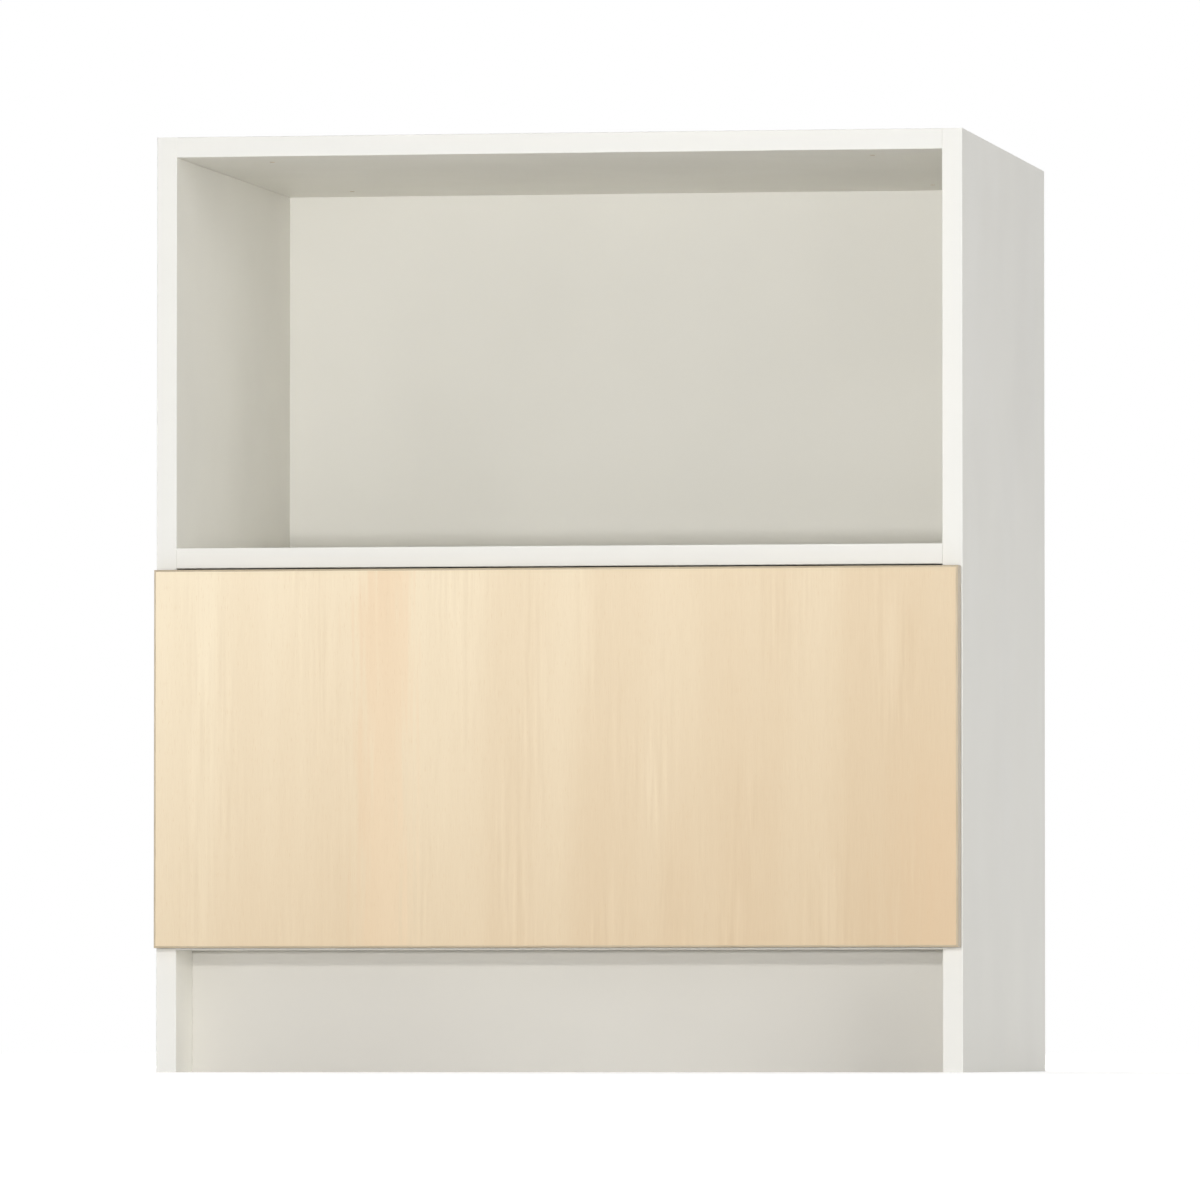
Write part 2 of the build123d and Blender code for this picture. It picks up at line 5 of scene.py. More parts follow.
import bmesh
import bpy
import numpy as np
from bpy.props import FloatProperty, FloatVectorProperty, IntProperty, PointerProperty
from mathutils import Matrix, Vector

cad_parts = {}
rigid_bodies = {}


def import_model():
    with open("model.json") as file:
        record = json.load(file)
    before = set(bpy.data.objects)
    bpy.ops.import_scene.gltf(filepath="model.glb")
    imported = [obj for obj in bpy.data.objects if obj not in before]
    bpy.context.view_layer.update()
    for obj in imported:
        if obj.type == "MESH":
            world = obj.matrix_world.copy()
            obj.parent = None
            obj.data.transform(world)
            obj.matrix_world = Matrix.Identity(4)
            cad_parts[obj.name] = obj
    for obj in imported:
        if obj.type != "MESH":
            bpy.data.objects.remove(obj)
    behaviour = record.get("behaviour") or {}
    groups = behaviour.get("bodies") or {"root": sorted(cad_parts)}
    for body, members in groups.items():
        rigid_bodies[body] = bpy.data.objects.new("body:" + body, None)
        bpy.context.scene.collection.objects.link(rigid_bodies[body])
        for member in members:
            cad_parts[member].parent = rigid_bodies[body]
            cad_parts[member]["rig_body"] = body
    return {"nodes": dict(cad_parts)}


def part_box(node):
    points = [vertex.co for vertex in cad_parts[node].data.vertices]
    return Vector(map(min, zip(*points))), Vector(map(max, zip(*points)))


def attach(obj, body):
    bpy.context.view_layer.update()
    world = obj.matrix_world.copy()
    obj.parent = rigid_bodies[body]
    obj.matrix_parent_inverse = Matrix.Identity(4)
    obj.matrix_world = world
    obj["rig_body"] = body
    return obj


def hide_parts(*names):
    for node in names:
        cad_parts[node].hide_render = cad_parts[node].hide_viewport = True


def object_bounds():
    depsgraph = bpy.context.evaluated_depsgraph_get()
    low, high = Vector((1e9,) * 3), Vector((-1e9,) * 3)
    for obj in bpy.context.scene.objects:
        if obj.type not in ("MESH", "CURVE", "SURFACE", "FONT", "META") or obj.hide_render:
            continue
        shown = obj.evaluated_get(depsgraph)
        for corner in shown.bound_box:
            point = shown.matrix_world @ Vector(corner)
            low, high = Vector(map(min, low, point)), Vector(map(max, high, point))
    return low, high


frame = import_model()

bl_info = {
    "name": "Microwave base cabinet",
    "version": (1, 0, 0),
    "blender": (4, 5, 0),
    "location": "3D View > Sidebar > Cabinet",
    "description": "Dresses the cabinet in its finishes, adds its small hardware and sets up the studio",
    "category": "Object",
}

X, Y, Z = 0, 1, 2

# The frame's box, before anything is added to it, and the place of its front
cad_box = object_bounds()
FRONT = cad_box[0][Y]

SIDES = ("left", "right")
WHITE = (1, 1, 1)
MILLIMETRE = 0.001
BALLS_IN_ROW = 6
SLIDE_SCREWS = 3

# Edges that turn by more than this stay sharp, or get a moulding's radius
CREASE = math.radians(35)

# The thin axis of each melamine board, and the colour of its foil; the toe board's darker foil is painted
# shade, for the shade under the cabinet's overhang
BOARDS = {
    "side_panel_left": (X, "foil"),
    "side_panel_right": (X, "foil"),
    "top_panel": (Z, "foil"),
    "niche_shelf": (Z, "foil"),
    "bottom_panel": (Z, "foil"),
    "toe_board": (Y, "toe_foil"),
    "hang_rail_top": (Y, "foil"),
    "hang_rail_middle": (Y, "foil"),
    "hang_rail_bottom": (Y, "foil"),
}
EDGE_BANDS = ("edge_band_left", "edge_band_right", "edge_band_top", "edge_band_shelf", "edge_band_bottom")

# Each drawer box board with the axis that its grain follows and the axis of its thickness
BOX_BOARDS = {
    "drawer_side_left": (Y, X),
    "drawer_side_right": (Y, X),
    "drawer_inner_front": (X, Y),
    "drawer_back": (X, Y),
}

# The lamps: each one's place, its width and height, and whether reflections show it
LAMPS = {
    "key": ((0.30, FRONT - 3.2, 0.64), (0.5, 0.1), False),
    "low": ((0.35, FRONT - 4.3, 0.25), (0.8, 0.12), False),
    "top": ((0, -0.6, 5.0), (4.5, 4.5), True),
    "right": ((7.0, -4.1, 1.3), (3.8, 2.8), True),
    "left": ((-5.0, -0.6, 1.2), (3.0, 2.2), True),
    "rear": ((-1.2, 4.6, 3.0), (4.5, 3.0), False),
}


def srgb(red, green, blue):
    """A colour of 0 to 255 as it shows on a screen, in the linear light that shaders use."""
    shown = [part / 255 for part in (red, green, blue)]
    return [part / 12.92 if part <= 0.04045 else ((part + 0.055) / 1.055) ** 2.4 for part in shown]


def colour(name, description, shown):
    """A colour that a user can change."""
    return FloatVectorProperty(name=name, description=description, subtype="COLOR", size=3,
                               min=0, max=1, default=srgb(*shown))


def length(name, description, default):
    """A size in metres that a user can change."""
    return FloatProperty(name=name, description=description, default=default, min=0, unit="LENGTH",
                         precision=5)


def level(name, description, default):
    """How bright a light leaves a white surface that faces it, where 1 renders as white."""
    return FloatProperty(name=name, description=description, default=default, min=0, subtype="FACTOR")


class CabinetColours(bpy.types.PropertyGroup):
    """The colours of the cabinet's boards, wood, metal and plastic."""

    foil: colour("Foil", "White foil on the faces of the boards", (239, 237, 229))
    back_foil: colour("Back foil", "White foil on the front of the back panel", (238, 236, 229))
    # The toe board is the same white melamine as the other boards: its darker foil is painted shade under the
    # overhang
    toe_foil: colour("Toe foil", "White foil on the toe board", (211, 208, 201))
    foil_shade: colour("Foil, darker", "The cooler tone that drifts through the foil", (222, 220, 213))
    band: colour("Edge band", "White plastic on the front edges", (232, 231, 226))
    chip_light: colour("Chips, light", "Pale wood chips on a bare edge", (214, 184, 138))
    chip_dark: colour("Chips, dark", "Dark wood chips and gaps on a bare edge", (122, 91, 60))
    hardboard: colour("Hardboard", "Bare rear face of the back panel", (138, 98, 66))
    hardboard_dark: colour("Hardboard, dark", "Darker fibres and clouds in the rear face", (96, 64, 40))
    # The veneer's two colours are the ends of the birch's own tone and also of a painted gradient: painted
    # light at the top left, painted shade at the bottom right
    veneer_light: colour("Veneer, light", "Birch at the light end of the drawer front", (241, 226, 198))
    veneer_dark: colour("Veneer, dark", "Birch at the dark end of the drawer front", (211, 189, 157))
    veneer_warm: colour("Veneer, warm", "Pinkish figure in the birch", (231, 197, 160))
    # The lipping's darker tone is partly the birch edging's own colour and partly painted shade of the gap
    # round the drawer front
    lipping: colour("Lipping", "Birch strips round the drawer front", (204, 188, 162))
    lipping_dark: colour("Lipping, dark", "Darker grain of those strips", (170, 152, 124))
    birch_light: colour("Box birch, light", "Early wood of the drawer box", (244, 226, 195))
    birch_dark: colour("Box birch, dark", "Late wood of the drawer box", (212, 180, 138))
    ply_core: colour("Plywood core", "Dark plies on the edge of the drawer bottom", (176, 134, 88))
    zinc: colour("Zinc", "Zinc plating of the slides and screws", (200, 203, 207))
    zinc_dull: colour("Zinc, dull", "Hazy patches in the plating", (164, 167, 170))
    grease: colour("Grease", "Film of grease in the ball races", (150, 140, 104))
    strip_steel: colour("Strip steel", "Rolled strip of the ball cages", (176, 176, 174))
    strip_dark: colour("Strip steel, dark", "Rolling lines in that strip", (138, 139, 139))
    ball_steel: colour("Ball steel", "Polished bearing balls", (226, 227, 230))
    black_plastic: colour("Black plastic", "Release levers and rear stops", (30, 30, 31))
    white_plastic: colour("White plastic", "Corner blocks behind the toe board", (226, 224, 216))
    rubber: colour("Clear rubber", "Bumpers on the back of the drawer front", (232, 234, 230))


class CabinetSizes(bpy.types.PropertyGroup):
    """The sizes of the small hardware and of the finishes' textures."""

    foil: length("Foil", "Depth of the white skin on a board's faces", 0.0002)
    glue_line: length("Glue line", "Glue that shows behind an edge band", 0.00012)
    mesh_print: length("Mesh print", "Pitch of the print on the hardboard's rear", 0.0021)
    stave: length("Stave", "Height of the staves glued into a drawer box board", 0.0635)
    stave_joint: length("Stave joint", "Half the width of the glued joint between staves", 0.00022)
    ring: length("Growth ring", "Width of a growth ring in the birch", 0.0034)
    pith_near: length("Pith, near", "Least distance from a board's face to its rings' centre", 0.012)
    pith_reach: length("Pith, reach", "How far that centre moves from stave to stave", 0.05)
    ply: length("Ply", "Thickness of a ply in the drawer bottom", 0.00127)
    race_reach: length("Race reach", "Height over which grease lies beside the balls", 0.0034)
    block_wall: length("Block wall", "Wall of the corner blocks", 0.003)
    moulding_edge: length("Moulding edge", "Radius of the edges of moulded plastic", 0.00035)
    wear_edge: length("Wear edge", "Width over which a worn edge shows", 0.0006)
    thread_pitch: length("Thread pitch", "Pitch of the other screws' threads", 0.0018)
    slide_steel: length("Slide steel", "Steel that the slide screws' heads sink into", 0.0012)
    side_shank: length("Side screw shank", "Radius of the screws in the side panels", 0.003)
    box_shank: length("Box screw shank", "Radius of the screws in the drawer sides", 0.002)
    front_head: length("Front screw head", "Radius of the heads of the drawer front's screws", 0.0045)
    front_crown: length("Front screw crown", "Height of those heads", 0.0026)
    front_shank: length("Front screw shank", "Radius of those screws", 0.002)
    block_head: length("Block screw head", "Radius of the heads of the corner blocks' screws", 0.0035)
    block_crown: length("Block screw crown", "Height of those heads", 0.002)
    block_shank: length("Block screw shank", "Radius of those screws", 0.00175)
    block_bite: length("Block screw bite", "How far those screws reach beyond the block's wall", 0.0121)
    block_pitch: length("Block screw pitch", "Pitch of those screws' threads", 0.00144)
    bumper: length("Bumper", "Radius of the bumpers", 0.004)
    turns_around: IntProperty(name="Steps around", description="Steps round a screw or bumper",
                              default=40, min=12, max=96)
    ball_steps: IntProperty(name="Ball steps", description="Steps round a ball", default=24, min=12, max=64)


class CabinetStudio(bpy.types.PropertyGroup):
    """The camera, the lamps and the surroundings."""

    camera_turn: FloatProperty(name="Camera turn", description="Camera's angle to the right of the front",
                               default=math.radians(9.41), subtype="ANGLE")
    camera_distance: length("Camera distance", "From the cabinet's axis to the camera", 12.0)
    camera_height: length("Camera height", "Eye height over the floor", 0.02)
    aim_height: length("Aim height", "Height of the point that the camera looks at", 0.45)
    aim_side: FloatProperty(name="Aim side", description="How far right of the middle the camera looks",
                            default=-0.007, unit="LENGTH", precision=4)
    lens: FloatProperty(name="Lens", description="Focal length in millimetres", default=377.5, min=1)
    key: level("Key", "Narrow lamp in front, whose shadow falls on the top of the toe board", 0.22)
    low: level("Low", "Narrow lamp near the floor, which reaches the niche's ceiling", 0.27)
    top: level("Top", "Broad lamp overhead", 0.25)
    right: level("Right", "Broad lamp on the right, far enough forward to reach into the niche", 0.30)
    left: level("Left", "Broad lamp on the left", 0.20)
    rear: level("Rear", "Broad lamp high up behind", 0.60)
    sky: level("Sky", "Even light from all round", 0.14)
    floor: colour("Floor", "Pale floor", (240, 240, 240))
    floor_speck: colour("Floor, specks", "Faint darker specks in it", (231, 231, 231))
    floor_lift: level("Floor lift", "White that the floor adds near the cabinet", 0.47)
    floor_near: length("Floor, near", "Where the floor starts to turn white", 1.2)
    floor_far: length("Floor, far", "Where it is white", 3.5)
    floor_reach: length("Floor reach", "From the cabinet's axis to each side of the floor", 60.0)


class Value:
    """The output of a shader node. Where it is a number, Python's operators add Math nodes to it."""

    def __init__(self, finish, socket):
        self.finish = finish
        self.socket = socket

    def maths(self, operation, *others):
        """A Math node on this number and the others, in that order."""
        return self.finish.node("ShaderNodeMath", {"operation": operation}, self, *others)["Value"]

    def __add__(self, other):
        return self.maths("ADD", other)

    __radd__ = __add__

    def __sub__(self, other):
        return self.maths("SUBTRACT", other)

    def __rsub__(self, other):
        return self.finish.node("ShaderNodeMath", {"operation": "SUBTRACT"}, other, self)["Value"]

    def __mul__(self, other):
        return self.maths("MULTIPLY", other)

    __rmul__ = __mul__

    def __truediv__(self, other):
        return self.maths("DIVIDE", other)

    def __pow__(self, other):
        return self.maths("POWER", other)

    def __gt__(self, other):
        return self.maths("GREATER_THAN", other)

    def __lt__(self, other):
        return self.maths("LESS_THAN", other)

    def __abs__(self):
        return self.maths("ABSOLUTE")

    def rise(self, low, high):
        """0 below the low limit, 1 above the high one, and a smooth step between."""
        settings = {"interpolation_type": "SMOOTHSTEP"}
        return self.finish.node("ShaderNodeMapRange", settings, self, low, high, 0.0, 1.0)["Result"]


class Node:
    """A shader node, whose outputs are read by name or number."""

    def __init__(self, finish, node):
        self.finish = finish
        self.node = node

    def __getitem__(self, output):
        return Value(self.finish, self.node.outputs[output])


class Finish:
    """A material under construction: its node tree, one way to add a node, and the patterns made from it."""

    def __init__(self, name, seed=0, tree=None):
        if tree is None:
            self.material = bpy.data.materials.new(name)
            self.material.use_nodes = True
            tree = self.material.node_tree
        self.tree = tree
        self.tree.nodes.clear()
        # Each seed moves the patterns to another place
        self.shift = (seed * 1.37, seed * 2.11, seed * 0.73)
        self.colours = bpy.context.scene.cabinet_colours
        self.sizes = bpy.context.scene.cabinet_sizes

    def node(self, kind, settings=None, *values, sockets=None):
        """Adds a node: first its settings, then the values or links of its sockets, by order or by name."""
        node = self.tree.nodes.new(kind)
        for name, setting in (settings or {}).items():
            setattr(node, name, setting)
        for place, value in {**dict(enumerate(values)), **(sockets or {})}.items():
            socket = node.inputs[place]
            if isinstance(value, Value):
                self.tree.links.new(value.socket, socket)
            elif socket.type == "RGBA":
                socket.default_value = (*value, 1.0)
            else:
                socket.default_value = value
        return Node(self, node)

    @cached_property
    def coordinates(self):
        """The node that gives places and normals, added once to a tree."""
        return self.node("ShaderNodeTexCoord")

    @cached_property
    def place(self):
        """The three parts of a point's place in the cabinet's frame, in metres."""
        return self.split(self.coordinates["Object"])

    @cached_property
    def facing(self):
        """The three parts of the direction that the surface faces."""
        return self.split(self.coordinates["Normal"])

    def split(self, vector):
        """The three parts of a vector."""
        parts = self.node("ShaderNodeSeparateXYZ", {}, vector)
        return [parts[axis] for axis in (X, Y, Z)]

    def joined(self, x, y, z):
        """A vector from three numbers."""
        return self.node("ShaderNodeCombineXYZ", {}, x, y, z)["Vector"]

    def pattern(self, kind, feature, source=None, sockets=None):
        """A texture whose unit spans the given metres, as one number or one for each axis."""
        source = source or self.coordinates["Object"]
        scale = (1 / (np.ones(3) * feature)).tolist()
        stretched = self.node("ShaderNodeMapping", {}, source, self.shift, (0, 0, 0), scale)["Vector"]
        return self.node(kind, sockets={"Vector": stretched, "Scale": 1.0, **(sockets or {})})

    def noise(self, feature, detail=2.0, rough=0.5, twist=0.0, source=None):
        """Soft noise between 0 and 1, with lumps of the given size in metres."""
        sockets = {"Detail": detail, "Roughness": rough, "Distortion": twist}
        return self.pattern("ShaderNodeTexNoise", feature, source, sockets)["Fac"]

    def mix(self, factor, first, second):
        """A colour between two others."""
        settings = {"data_type": "RGBA", "clamp_factor": True}
        return self.node("ShaderNodeMix", settings, sockets={0: factor, 6: first, 7: second})[2]

    def rounded(self, radius):
        """The surface normal as if every edge were rounded to a radius."""
        return self.node("ShaderNodeBevel", {"samples": 6}, radius)["Normal"]

    def edges(self, softened):
        """1 along edges and 0 on flat faces, from how far the rounded normal leans from the true one."""
        true = self.node("ShaderNodeNewGeometry")["True Normal"]
        lean = self.node("ShaderNodeVectorMath", {"operation": "DOT_PRODUCT"}, softened, true)["Value"]
        return (1 - lean).rise(0.01, 0.2)

    def surface(self, base, roughness, height=None, relief=0.0, normal=None, fixed=None):
        """Ends the tree in its shader: what varies, a bump of some millimetres, and fixed sockets."""
        sockets = {"Base Color": base, "Roughness": roughness, **(fixed or {})}
        if height is not None:
            bumped = {"Strength": 1.0, "Distance": relief * MILLIMETRE, "Height": height}
            if normal is not None:
                bumped["Normal"] = normal
            normal = self.node("ShaderNodeBump", sockets=bumped)["Normal"]
        if normal is not None:
            sockets["Normal"] = normal
        shader = self.node("ShaderNodeBsdfPrincipled", sockets=sockets)
        self.node("ShaderNodeOutputMaterial", {}, shader["BSDF"])
        return self.material


def spread(along, long, wide):
    """The size of a stretched pattern: long on one axis and narrow on the others."""
    size = [wide] * 3
    size[along] = long
    return size


def chips(finish, along):
    """Colour and relief of bare particle board: flat chips pressed along the board, with dark gaps."""
    coarse = finish.pattern("ShaderNodeTexVoronoi", spread(along, 0.0052, 0.0017))
    fine = finish.noise(spread(along, 0.0012, 0.0005), detail=3.0, rough=0.7)
    shade = finish.split(coarse["Color"])[0]
    gap = coarse["Distance"].rise(0.45, 0.75)
    tone = shade * 0.65 + fine * 0.35
    dark = finish.colours.chip_dark
    body = finish.mix(tone.rise(0.15, 0.95) * 0.8, finish.colours.chip_light, dark)
    return finish.mix(gap * 0.4, body, dark), tone - gap * 0.6


def white_foil(finish, shade, lump):
    """The foil's colour, in which a cooler tone drifts in soft lumps."""
    drift = finish.noise(lump, detail=3.0).rise(0.35, 0.65)
    return finish.mix(drift * 0.3, shade, finish.colours.foil_shade)


def foil_pearl(finish):
    """The foil's fine satin grain."""
    return finish.noise(0.0011, rough=0.6)


def melamine(node, axis, foil_colour, seed):
    """Satin white foil on both faces of a board, and bare chips wherever the foil has been cut."""
    low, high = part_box(node)
    middle, half = (high[axis] + low[axis]) / 2, (high[axis] - low[axis]) / 2
    finish = Finish("melamine_" + node, seed)
    skin = abs(finish.place[axis] - middle) > half - finish.sizes.foil
    foil = skin * (abs(finish.facing[axis]) > 0.5)
    bare, ragged = chips(finish, Z if axis == X else X)
    white = white_foil(finish, getattr(finish.colours, foil_colour), 0.31)
    softened = finish.rounded(finish.sizes.wear_edge)
    rim = finish.edges(softened)
    base = finish.mix(foil, bare, finish.mix(rim * 0.18, white, finish.colours.chip_dark))
    pearl = foil_pearl(finish)
    smudge = finish.noise((0.09, 0.09, 0.16), detail=4.0, rough=0.6).rise(0.45, 0.75)
    roughness = foil * (0.44 - smudge * 0.07 + pearl * 0.04) + (1 - foil) * 0.85
    height = foil * pearl * 0.06 + (1 - foil) * ragged
    return finish.surface(base, roughness, height, 0.25, softened)


def edge_band(node, seed):
    """White plastic edging with a fine pearl, a little brighter than the foil beside it."""
    low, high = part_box(node)
    along = Z if high[Z] - low[Z] > high[X] - low[X] else X
    finish = Finish("edging_" + node, seed)
    colours = finish.colours
    drift = finish.noise(spread(along, 0.22, 0.02))
    glue = (high[Y] - finish.place[Y]).rise(0, finish.sizes.glue_line)
    white = finish.mix(drift.rise(0.3, 0.7) * 0.25, colours.band, colours.foil)
    base = finish.mix(glue, colours.chip_dark, white)
    pearl = finish.noise(0.0009, rough=0.6)
    scrape = finish.noise(spread(along, 0.05, 0.0006), detail=1.0)
    roughness = 0.36 + pearl * 0.05 + scrape * 0.05
    return finish.surface(base, roughness, pearl + scrape * 0.5, 0.012)


def veneer():
    """The drawer front's face: upright birch under clear satin lacquer.

    The leaf's colour is painted lightest at its top left corner and darkest at its bottom right: painted
    light and shade. A pinkish streak runs down it left of the middle, and another comes up in its lower right
    corner. Between calm stretches lie clusters of fine upright figure.
    """
    low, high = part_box("drawer_front")
    finish = Finish("birch_veneer", 3)
    colours = finish.colours
    u = (finish.place[X] - low[X]) / (high[X] - low[X])
    v = (high[Z] - finish.place[Z]) / (high[Z] - low[Z])
    bands = finish.noise((0.06, 1, 0.9)).rise(0.3, 0.7)
    figure = finish.noise((0.005, 1, 0.12), rough=0.45)
    cluster = finish.noise((0.05, 1, 0.22), detail=1.0).rise(0.46, 0.66)
    fibre = finish.noise((0.0005, 1, 0.025), rough=0.6)
    pores = finish.noise((0.0006, 1, 0.009), detail=1.0).rise(0.62, 0.74)
    sway = finish.noise((9, 1, 0.12)) - 0.5
    ragged = (figure - 0.5) * 0.09
    streak = 1 - abs(u - 0.29 - sway * 0.05 + ragged).rise(0.012, 0.045)
    corner = (u + ragged).rise(0.88, 1.0) * v.rise(0.3, 0.8)
    blush = streak * (1 - v * 0.4) + corner * 0.6 + bands * 0.15
    # Painted light and shade: lighter towards the top left, darker towards the bottom right
    painted_light_slope = u * 0.66 + v * 0.56 - u * v * 0.26
    tone = painted_light_slope + (bands - 0.5) * 0.16 + (figure - 0.5) * (0.09 + cluster * 0.6) + (fibre - 0.5) * 0.35
    base = finish.mix(tone, colours.veneer_light, colours.veneer_dark)
    base = finish.mix(blush * 0.34, base, colours.veneer_warm)
    base = finish.mix(pores * 0.32, base, colours.birch_dark)
    return finish.surface(base, 0.38 + fibre * 0.12, fibre * 0.5 - pores, 0.03)


def lipping():
    """The birch strips round the drawer front, with the grain along each strip."""
    _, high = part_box("drawer_front")
    finish = Finish("birch_lipping", 5)
    colours = finish.colours
    upright = abs(finish.place[X]) > high[X]
    x, y, z = finish.place
    across = upright * x + (1 - upright) * z
    along = upright * z + (1 - upright) * x
    source = finish.joined(across, y, along)
    softened = finish.rounded(finish.sizes.wear_edge)
    figure = finish.noise((0.0016, 0.0016, 0.05), detail=3.0, rough=0.6, source=source)
    pores = finish.noise((0.0006, 0.0006, 0.008), detail=1.0, source=source).rise(0.6, 0.75)
    # The lipping colour is partly real birch edging and partly painted shade of the gap round the front
    base = finish.mix(figure.rise(0.3, 0.7) * 0.55, colours.lipping, colours.lipping_dark)
    base = finish.mix(pores * 0.22, base, colours.chip_dark)
    return finish.surface(base, 0.38 + figure * 0.1, figure * 0.4 - pores, 0.02, softened)


def solid_birch(node, along, thin, seed):
    """Solid birch, glued up from staves, with growth rings about a line that runs beside each stave."""
    low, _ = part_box(node)
    finish = Finish("birch_" + node, seed)
    colours, sizes = finish.colours, finish.sizes
    rise = (finish.place[Z] - low[Z]) / sizes.stave
    stave = rise.maths("FLOOR")
    luck = finish.split(finish.node("ShaderNodeTexWhiteNoise", {"noise_dimensions": "1D"},
                                    sockets={"W": stave + seed})["Color"])
    wander = finish.noise(spread(along, 0.45, 0.11), detail=1.0) - 0.5
    off_middle = rise - stave - 0.5
    across = off_middle * sizes.stave + (luck[0] - 0.5) * sizes.pith_reach + wander * 0.02
    deep = finish.place[thin] - low[thin] + sizes.pith_near + luck[1] * sizes.pith_reach + wander * 0.014
    rings = ((across ** 2 + deep ** 2) ** 0.5) / sizes.ring + wander * 2
    late = rings.maths("FRACT").rise(0.35, 1.0)
    fibre = finish.noise(spread(along, 0.07, 0.0011), detail=3.0, rough=0.65)
    flecks = finish.noise(spread(along, 0.006, 0.0005), detail=1.0).rise(0.6, 0.75)
    end_grain = abs(finish.facing[along]) > 0.5
    tone = late * 0.22 + fibre * 0.36 + (luck[2] - 0.5) * 0.4
    joint = (abs(off_middle) > 0.5 - sizes.stave_joint / sizes.stave) * 0.35
    base = finish.mix(tone, colours.birch_light, colours.birch_dark)
    base = finish.mix(flecks * 0.16 + end_grain * 0.35 + joint, base, colours.birch_dark)
    softened = finish.rounded(sizes.wear_edge)
    rub = finish.edges(softened)
    base = finish.mix(rub * 0.25, base, colours.birch_dark)
    roughness = 0.42 + fibre * 0.12 + end_grain * 0.16
    return finish.surface(base, roughness, fibre * 0.6 - flecks * 0.8 - joint, 0.05, softened)


def plywood():
    """The drawer bottom: rotary birch faces, and plies on its edges."""
    low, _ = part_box("drawer_bottom")
    finish = Finish("birch_plywood", 11)
    colours = finish.colours
    flat = abs(finish.facing[Z]) > 0.5
    swirl = finish.noise((0.5, 0.09, 1), twist=1.2)
    figure = (swirl * 14).maths("FRACT").rise(0.0, 1.0)
    fibre = finish.noise((0.06, 0.0012, 1), detail=3.0, rough=0.6)
    face = finish.mix(figure * 0.28 + fibre * 0.4, colours.birch_light, colours.birch_dark)
    ply = ((finish.place[Z] - low[Z]) / (2 * finish.sizes.ply)).maths("FRACT") > 0.5
    edge = finish.mix(ply, colours.birch_light, colours.ply_core)
    base = finish.mix(flat, edge, face)
    return finish.surface(base, 0.45 + fibre * 0.12, fibre, 0.05)


def back_board():
    """Hardboard: white foil towards the niche, bare brown with a wire-mesh print at the rear."""
    finish = Finish("hardboard_back", 13)
    colours = finish.colours
    front = finish.facing[Y] < -0.5
    white = white_foil(finish, colours.back_foil, (0.4, 1, 0.4))
    fibre = finish.noise((0.004, 0.004, 0.0015), detail=4.0, rough=0.7)
    turn = math.tau / finish.sizes.mesh_print
    wires = [(finish.place[axis] * turn).maths("SINE") for axis in (X, Z)]
    mesh = (wires[0] * wires[1]).rise(-0.2, 0.9)
    streak = finish.noise((0.35, 1, 0.12), detail=4.0, rough=0.6).rise(0.3, 0.7)
    brown = finish.mix(fibre.rise(0.3, 0.75) * 0.4 + mesh * 0.15 + streak * 0.3, colours.hardboard,
                       colours.hardboard_dark)
    base = finish.mix(front, brown, white)
    pearl = foil_pearl(finish)
    roughness = front * (0.44 + pearl * 0.04) + (1 - front) * 0.78
    height = front * pearl * 0.06 + (1 - front) * (mesh * 0.5 + fibre * 0.5)
    return finish.surface(base, roughness, height, 0.2)


def plated_steel(name, seed, middle, row):
    """Zinc plating on rolled strip: a faint haze, rolling lines along the slide and bright worn edges.

    A film of grease lies near the two rows of balls, one as far over the middle as the other is under it.
    """
    finish = Finish(name, seed)
    colours, sizes = finish.colours, finish.sizes
    haze = finish.noise((0.03, 0.2, 0.011), detail=3.0).rise(0.3, 0.75)
    lines = finish.noise((0.0005, 0.12, 0.0005), rough=0.7)
    softened = finish.rounded(sizes.wear_edge * 0.5)
    wear = finish.edges(softened)
    base = finish.mix(haze * 0.35 + lines.rise(0.35, 0.75) * 0.45, colours.zinc, colours.zinc_dull)
    base = finish.mix(wear * 0.5, base, colours.ball_steel)
    near = 1 - abs(abs(finish.place[Z] - middle) - row).rise(0.2 * MILLIMETRE, sizes.race_reach)
    film = near * finish.noise((0.01, 0.03, 0.01), detail=3.0).rise(0.35, 0.6)
    base = finish.mix(film * 0.35, base, colours.grease)
    roughness = 0.24 + haze * 0.08 + lines * 0.16 - film * 0.1
    return finish.surface(base, roughness, lines, 0.01, softened, {"Metallic": 1.0})


def strip_steel():
    """Bare rolled strip of the ball cages, slightly darker than the plated members."""
    finish = Finish("cage_strip", 23)
    colours = finish.colours
    lines = finish.noise((0.0004, 0.08, 0.0004), rough=0.7)
    oil = finish.noise((0.008, 0.06, 0.006), detail=3.0).rise(0.4, 0.7)
    base = finish.mix(lines.rise(0.3, 0.75) * 0.5, colours.strip_steel, colours.strip_dark)
    base = finish.mix(oil * 0.16, base, colours.grease)
    roughness = 0.34 + lines * 0.12 - oil * 0.06
    return finish.surface(base, roughness, lines, 0.01, fixed={"Metallic": 1.0})


def polished_steel():
    """Bearing balls: mirror bright under a thin smear of grease."""
    finish = Finish("polished_balls", 29)
    smear = finish.noise(0.002, detail=3.0).rise(0.5, 0.7)
    base = finish.mix(smear * 0.3, finish.colours.ball_steel, finish.colours.grease)
    return finish.surface(base, 0.08 + smear * 0.2, fixed={"Metallic": 1.0})


def screw_steel():
    """Zinc plating of the screws and rivets, with a fine haze."""
    finish = Finish("screw_plating", 31)
    haze = finish.noise(0.0022, detail=3.0, rough=0.6)
    base = finish.mix(haze.rise(0.3, 0.7), finish.colours.zinc, finish.colours.zinc_dull)
    return finish.surface(base, 0.25 + haze * 0.2, haze, 0.01, fixed={"Metallic": 1.0})


